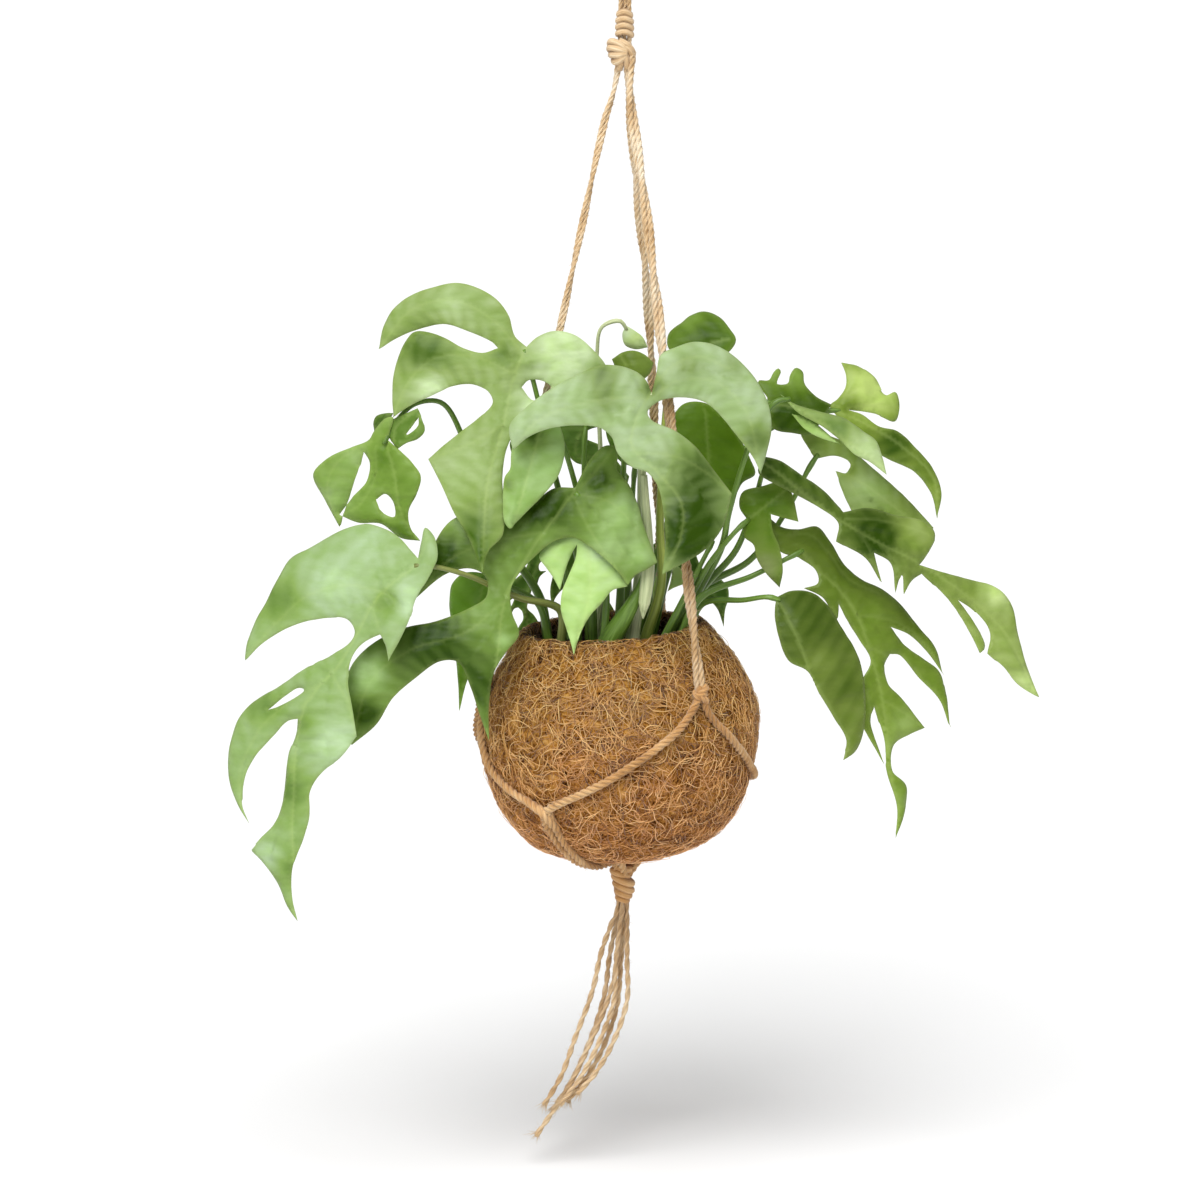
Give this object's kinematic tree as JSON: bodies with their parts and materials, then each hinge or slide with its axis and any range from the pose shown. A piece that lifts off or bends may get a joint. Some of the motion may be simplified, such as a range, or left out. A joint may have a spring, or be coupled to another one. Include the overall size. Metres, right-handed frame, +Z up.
{
  "type": "potted mini monstera",
  "caption": "Split-leaved mini monstera in a round coir-fibre pot, carried by a knotted jute rope hanger with a hanging loop at the top and a loose tassel below.",
  "frame": {"origin": "inside of the crown of the rope's hanging loop, where a hook holds it", "axes": "+Z up, the front of the plant towards -Y, +X to the right as seen from the front"},
  "size_m": [0.3983, 0.1732, 0.6198],
  "materials": {
    "coir": "matted coconut fibre, rough and matte",
    "soil": "loose dark potting soil with bits of bark, matte",
    "jute": "twisted jute rope, fuzzy and matte",
    "leaf_deep": "living leaf, deep green, satin",
    "leaf_mid": "living leaf, mid green, satin",
    "leaf_pale": "living leaf, pale green, satin",
    "leaf_lime": "young leaf, lime green, satin"
  },
  "bodies": {
    "root": {"base_rope_left": "jute", "base_rope_rear": "jute", "base_rope_right": "jute", "bottom_knot": "jute", "coir_pot": "coir", "hanging_loop": "jute", "leaf_back_long": "leaf_mid", "leaf_back_right": "leaf_deep", "leaf_back_round": "leaf_mid", "leaf_back_split": "leaf_deep", "leaf_back_upper": "leaf_mid", "leaf_behind_centre": "leaf_deep", "leaf_behind_top": "leaf_deep", "leaf_centre": "leaf_pale", "leaf_front_left": "leaf_pale", "leaf_left": "leaf_mid", "leaf_mid_right": "leaf_deep", "leaf_middle": "leaf_deep", "leaf_right_back": "leaf_mid", "leaf_right_dark": "leaf_deep", "leaf_right_hanging": "leaf_deep", "leaf_right_long": "leaf_deep", "leaf_right_lower": "leaf_deep", "leaf_right_pale": "leaf_pale", "leaf_right_upper": "leaf_lime", "leaf_round_left": "leaf_mid", "leaf_top": "leaf_mid", "leaf_top_left": "leaf_mid", "leaf_under_centre": "leaf_pale", "leaf_young": "leaf_pale", "leg_front": "jute", "leg_left": "jute", "leg_rear": "jute", "lower_knot_left": "jute", "lower_knot_rear": "jute", "lower_knot_right": "jute", "net_front_left": "jute", "net_front_right": "jute", "net_left_front": "jute", "net_left_rear": "jute", "net_rear_left": "jute", "net_rear_right": "jute", "potting_soil": "soil", "shoulder_knot_front": "jute", "shoulder_knot_left": "jute", "shoulder_knot_rear": "jute", "tassel_1": "jute", "tassel_2": "jute", "tassel_3": "jute", "tassel_4": "jute", "tassel_5": "jute", "tassel_6": "jute", "top_knot": "jute", "top_wrap": "jute"}
  },
  "joints": []
}
